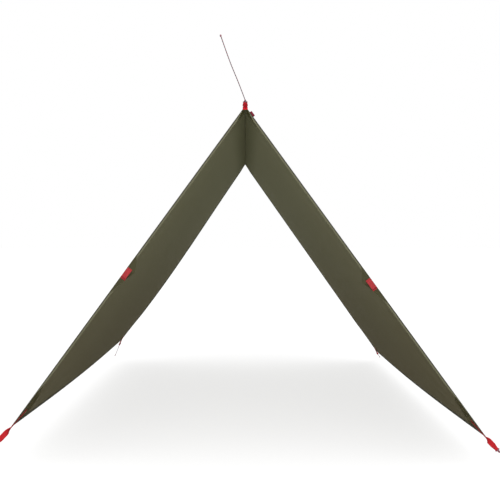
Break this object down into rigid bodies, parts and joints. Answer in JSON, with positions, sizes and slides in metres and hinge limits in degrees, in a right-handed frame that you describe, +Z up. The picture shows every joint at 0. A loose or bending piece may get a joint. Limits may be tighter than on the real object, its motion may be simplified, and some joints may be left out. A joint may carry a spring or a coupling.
{
  "type": "camping tarp",
  "caption": "Square camping tarp pitched as an A-frame shelter, with taped hems, red webbing straps and loops at corners and hems, and knotted guy cords.",
  "frame": {"origin": "eye of the front ridge loop, where the ridge guyline holds the tarp", "axes": "+Y along the ridge from the front hem to the rear, +X to the right seen from the front, +Z up"},
  "size_m": [1.9939, 3.7494, 1.5218],
  "materials": {
    "canopy": "olive green coated ripstop",
    "hem_tape": "lighter olive woven tape",
    "webbing": "bright red woven webbing",
    "cord": "grey-purple braided cord with red flecks"
  },
  "bodies": {
    "ridge": {"ridge_seam": "hem_tape", "front_ridge_loop": "webbing", "ridge_guyline_hitch": "cord", "ridge_guyline_knot": "cord", "ridge_guyline_cord": "cord", "ridge_guyline_end_knot": "cord"},
    "left_panel_body": {"left_panel": "canopy", "left_side_hem_tape": "hem_tape", "left_front_hem_tape": "hem_tape", "left_front_ridge_patch": "hem_tape", "left_front_corner_patch": "hem_tape", "left_front_corner_webbing": "webbing", "left_rear_hem_tape": "hem_tape", "left_rear_ridge_patch": "hem_tape", "left_rear_corner_patch": "hem_tape", "left_rear_corner_webbing": "webbing"},
    "right_panel_body": {"right_panel": "canopy", "right_side_hem_tape": "hem_tape", "right_front_hem_tape": "hem_tape", "right_front_ridge_patch": "hem_tape", "right_front_corner_patch": "hem_tape", "right_front_corner_webbing": "webbing", "right_rear_hem_tape": "hem_tape", "right_rear_ridge_patch": "hem_tape", "right_rear_corner_patch": "hem_tape", "right_rear_corner_webbing": "webbing", "right_outer_ridge_loop": "webbing"},
    "left_front_strap_body": {"left_front_strap_loop": "webbing", "left_front_strap_hitch": "cord", "left_front_strap_knot": "cord", "left_front_strap_cord": "cord", "left_front_strap_end_knot": "cord"},
    "left_front_tab_body": {"left_front_tab": "canopy", "left_front_tab_loop": "webbing"},
    "right_front_strap_body": {"right_front_strap_loop": "webbing", "right_front_strap_hitch": "cord", "right_front_strap_knot": "cord", "right_front_strap_cord": "cord", "right_front_strap_end_knot": "cord"},
    "right_front_tab_body": {"right_front_tab": "canopy", "right_front_tab_loop": "webbing"},
    "left_rear_strap_body": {"left_rear_strap_loop": "webbing", "left_rear_strap_hitch": "cord", "left_rear_strap_knot": "cord", "left_rear_strap_cord": "cord", "left_rear_strap_end_knot": "cord"},
    "left_rear_tab_body": {"left_rear_tab": "canopy", "left_rear_tab_loop": "webbing"},
    "right_rear_strap_body": {"right_rear_strap_loop": "webbing", "right_rear_strap_hitch": "cord", "right_rear_strap_knot": "cord", "right_rear_strap_cord": "cord", "right_rear_strap_end_knot": "cord"},
    "right_rear_tab_body": {"right_rear_tab": "canopy", "right_rear_tab_loop": "webbing"},
    "rear_ridge_loop_body": {"rear_ridge_loop": "webbing"}
  },
  "joints": [
    {"name": "left_panel_swing", "type": "hinge", "parent": "ridge", "child": "left_panel_body", "pos_m": [0, 0.04, -0.01], "axis": [0, 1, 0], "range_deg": [-25, 54]},
    {"name": "right_panel_swing", "type": "hinge", "parent": "ridge", "child": "right_panel_body", "pos_m": [0, 0.04, -0.01], "axis": [0, -1, 0], "range_deg": [-25, 54]},
    {"name": "left_front_strap_flex", "type": "hinge", "parent": "left_panel_body", "child": "left_front_strap_body", "pos_m": [-0.87749, 0.03796, -1.21539], "axis": [0.4477, -0.6354, 0.6292], "range_deg": [-50, 50]},
    {"name": "left_front_tab_fold", "type": "hinge", "parent": "left_panel_body", "child": "left_front_tab_body", "pos_m": [-0.45422, 0.0386, -0.63235], "axis": [-0.5895, 0, -0.8078], "range_deg": [0, 100]},
    {"name": "right_front_strap_flex", "type": "hinge", "parent": "right_panel_body", "child": "right_front_strap_body", "pos_m": [0.9024, 0.03783, -1.25326], "axis": [0.4764, 0.5691, -0.6702], "range_deg": [-50, 50]},
    {"name": "right_front_tab_fold", "type": "hinge", "parent": "right_panel_body", "child": "right_front_tab_body", "pos_m": [0.4822, 0.0386, -0.67269], "axis": [-0.5884, 0, 0.8086], "range_deg": [0, 100]},
    {"name": "left_rear_strap_flex", "type": "hinge", "parent": "left_panel_body", "child": "left_rear_strap_body", "pos_m": [-0.8473, 3.04228, -1.21208], "axis": [-0.5456, -0.4809, -0.6864], "range_deg": [-50, 50]},
    {"name": "left_rear_tab_fold", "type": "hinge", "parent": "left_panel_body", "child": "left_rear_tab_body", "pos_m": [-0.42517, 3.0414, -0.64036], "axis": [-0.5637, 0, -0.826], "range_deg": [-10, 90]},
    {"name": "right_rear_strap_flex", "type": "hinge", "parent": "right_panel_body", "child": "right_rear_strap_body", "pos_m": [0.89411, 3.04239, -1.28494], "axis": [-0.5278, 0.3959, 0.7515], "range_deg": [-50, 50]},
    {"name": "right_rear_tab_fold", "type": "hinge", "parent": "right_panel_body", "child": "right_rear_tab_body", "pos_m": [0.47793, 3.0414, -0.68978], "axis": [-0.5751, 0, 0.8181], "range_deg": [-10, 90]},
    {"name": "rear_ridge_loop_flex", "type": "hinge", "parent": "ridge", "child": "rear_ridge_loop_body", "pos_m": [0, 3.043, -0.01], "axis": [1, 0, 0], "range_deg": [-40, 20]}
  ]
}
